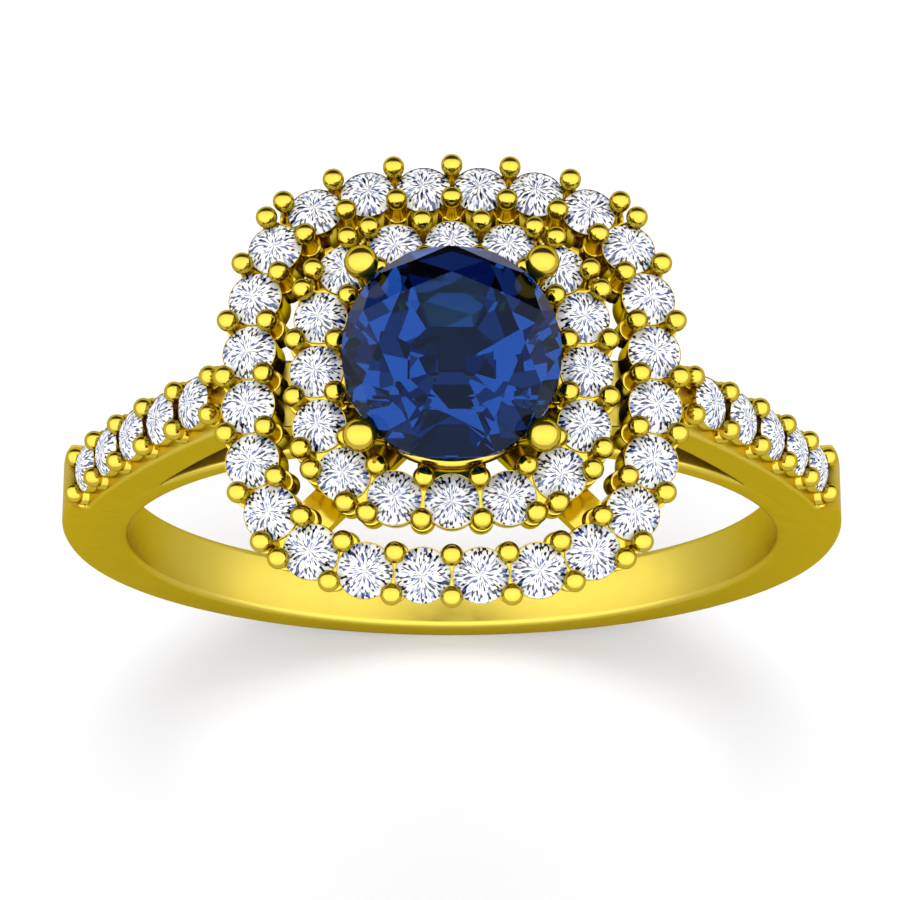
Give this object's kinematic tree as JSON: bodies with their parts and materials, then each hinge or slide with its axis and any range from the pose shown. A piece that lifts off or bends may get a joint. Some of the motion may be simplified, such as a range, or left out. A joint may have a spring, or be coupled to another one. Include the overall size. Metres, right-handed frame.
{
  "type": "engagement ring",
  "caption": "Yellow metal ring with a round blue stone in a claw basket, framed by nested cushion-shaped halos of small clear stones, on stone-set cathedral shoulders.",
  "frame": {"origin": "centre of the finger hole, half way along its width", "axes": "+Y along the finger; +Z from the finger hole up through the centre stone; +X across the ring"},
  "size_m": [0.0206, 0.0112, 0.0241],
  "materials": {
    "band_gold": "polished yellow gold, faintly satin on the flat faces",
    "setting_gold": "polished yellow gold",
    "diamond": "faceted and polished, clear",
    "sapphire": "faceted and polished, deep blue"
  },
  "bodies": {
    "root": {"shank": "band_gold", "left_shoulder": "band_gold", "right_shoulder": "band_gold", "outer_halo": "setting_gold", "inner_halo": "setting_gold", "corner_struts": "setting_gold", "centre_basket": "setting_gold", "basket_rail": "setting_gold", "basket_peg": "setting_gold", "centre_sapphire": "sapphire", "outer_stone_1": "diamond", "outer_stone_2": "diamond", "outer_stone_3": "diamond", "outer_stone_4": "diamond", "outer_stone_5": "diamond", "outer_stone_6": "diamond", "outer_stone_7": "diamond", "outer_stone_8": "diamond", "outer_stone_9": "diamond", "outer_stone_10": "diamond", "outer_stone_11": "diamond", "outer_stone_12": "diamond", "outer_stone_13": "diamond", "outer_stone_14": "diamond", "outer_stone_15": "diamond", "outer_stone_16": "diamond", "outer_stone_17": "diamond", "outer_stone_18": "diamond", "outer_stone_19": "diamond", "outer_stone_20": "diamond", "outer_stone_21": "diamond", "outer_stone_22": "diamond", "outer_stone_23": "diamond", "outer_stone_24": "diamond", "inner_stone_1": "diamond", "inner_stone_2": "diamond", "inner_stone_3": "diamond", "inner_stone_4": "diamond", "inner_stone_5": "diamond", "inner_stone_6": "diamond", "inner_stone_7": "diamond", "inner_stone_8": "diamond", "inner_stone_9": "diamond", "inner_stone_10": "diamond", "inner_stone_11": "diamond", "inner_stone_12": "diamond", "inner_stone_13": "diamond", "inner_stone_14": "diamond", "inner_stone_15": "diamond", "inner_stone_16": "diamond", "left_shoulder_stone_1": "diamond", "left_shoulder_stone_2": "diamond", "left_shoulder_stone_3": "diamond", "left_shoulder_stone_4": "diamond", "left_shoulder_stone_5": "diamond", "right_shoulder_stone_1": "diamond", "right_shoulder_stone_2": "diamond", "right_shoulder_stone_3": "diamond", "right_shoulder_stone_4": "diamond", "right_shoulder_stone_5": "diamond"}
  },
  "joints": []
}
